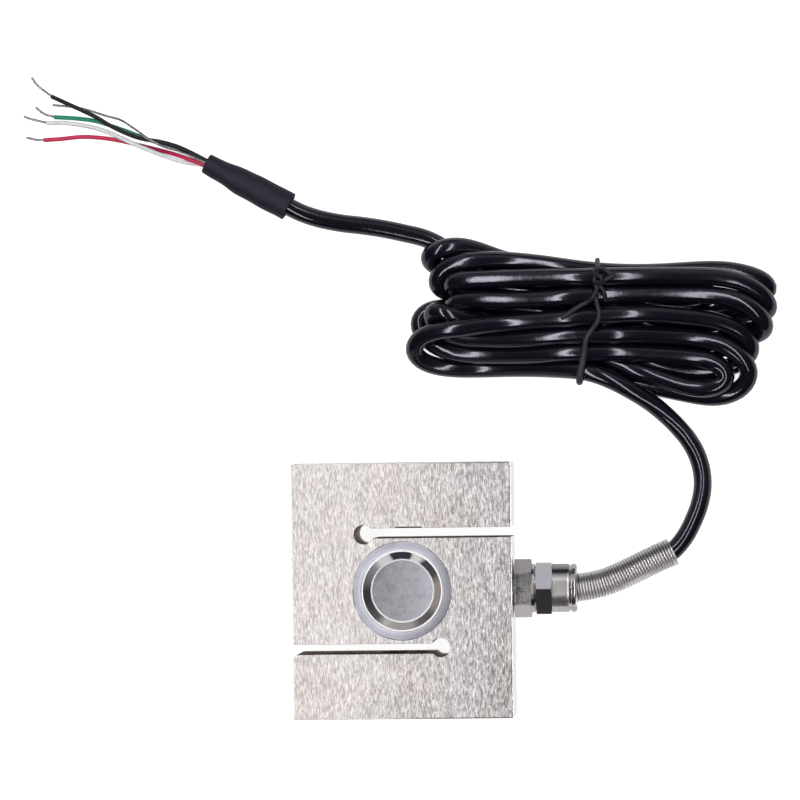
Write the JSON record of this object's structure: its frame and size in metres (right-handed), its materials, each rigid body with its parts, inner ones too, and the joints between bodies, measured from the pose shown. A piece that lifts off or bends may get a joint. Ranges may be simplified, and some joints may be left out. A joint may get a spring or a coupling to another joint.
{
  "type": "s-type load cell",
  "caption": "S-shaped steel force sensor with a covered gauge bore, threaded ends, a cable gland with a spring relief, and a tied hank of signal cable.",
  "frame": {"origin": "centre of the beam's rear face, on which it lies", "axes": "+X towards the cable gland, +Y along the load axis through both end threads, +Z out of the front face"},
  "size_m": [0.178, 0.1519, 0.02],
  "materials": {
    "nickel_plated_steel": "satin nickel plate with short streaks",
    "stamped_steel": "bright stamped sheet",
    "nickel_plated_brass": "bright nickel plate",
    "spring_steel": "bright wire",
    "sealant": "cured sealant",
    "black_rubber": "matte",
    "cable_jacket": "glossy jacket",
    "shrink_tubing": "matte tubing",
    "tie_wire": "matte coated wire",
    "brass": "plain",
    "red_insulation": "satin",
    "black_insulation": "satin",
    "green_insulation": "satin",
    "white_insulation": "satin",
    "tinned_copper": "tinned strands",
    "gauge_foil": "film backing",
    "circuit_board": "solder mask",
    "resistor_body": "lacquered",
    "lead_enamel": "enamelled wire"
  },
  "bodies": {
    "root": {"s_beam": "nickel_plated_steel", "front_cover": "stamped_steel", "front_sealant": "sealant", "rear_cover": "stamped_steel", "rear_sealant": "sealant", "strain_gauge_1": "gauge_foil", "strain_gauge_2": "gauge_foil", "strain_gauge_3": "gauge_foil", "strain_gauge_4": "gauge_foil", "gauge_lead_1": "lead_enamel", "gauge_lead_2": "lead_enamel", "gauge_lead_3": "lead_enamel", "gauge_lead_4": "lead_enamel", "terminal_board": "circuit_board", "bridge_resistor_1": "resistor_body", "bridge_resistor_2": "resistor_body", "inner_core_red": "red_insulation", "inner_core_black": "black_insulation", "inner_core_green": "green_insulation", "inner_core_white": "white_insulation", "cable_inner": "cable_jacket", "gland_washer": "black_rubber", "gland_body": "nickel_plated_brass", "sealing_insert": "black_rubber", "clamp_ring": "brass", "gland_nut": "nickel_plated_brass", "relief_spring": "spring_steel", "cable_lead": "cable_jacket", "cable_hank": "cable_jacket", "hank_tie": "tie_wire", "cable_tail": "cable_jacket", "heat_shrink": "shrink_tubing", "core_red": "red_insulation", "core_black": "black_insulation", "core_green": "green_insulation", "core_white": "white_insulation", "strand_red": "tinned_copper", "strand_black": "tinned_copper", "strand_green": "tinned_copper", "strand_white": "tinned_copper", "shield_drain": "tinned_copper"}
  },
  "joints": []
}
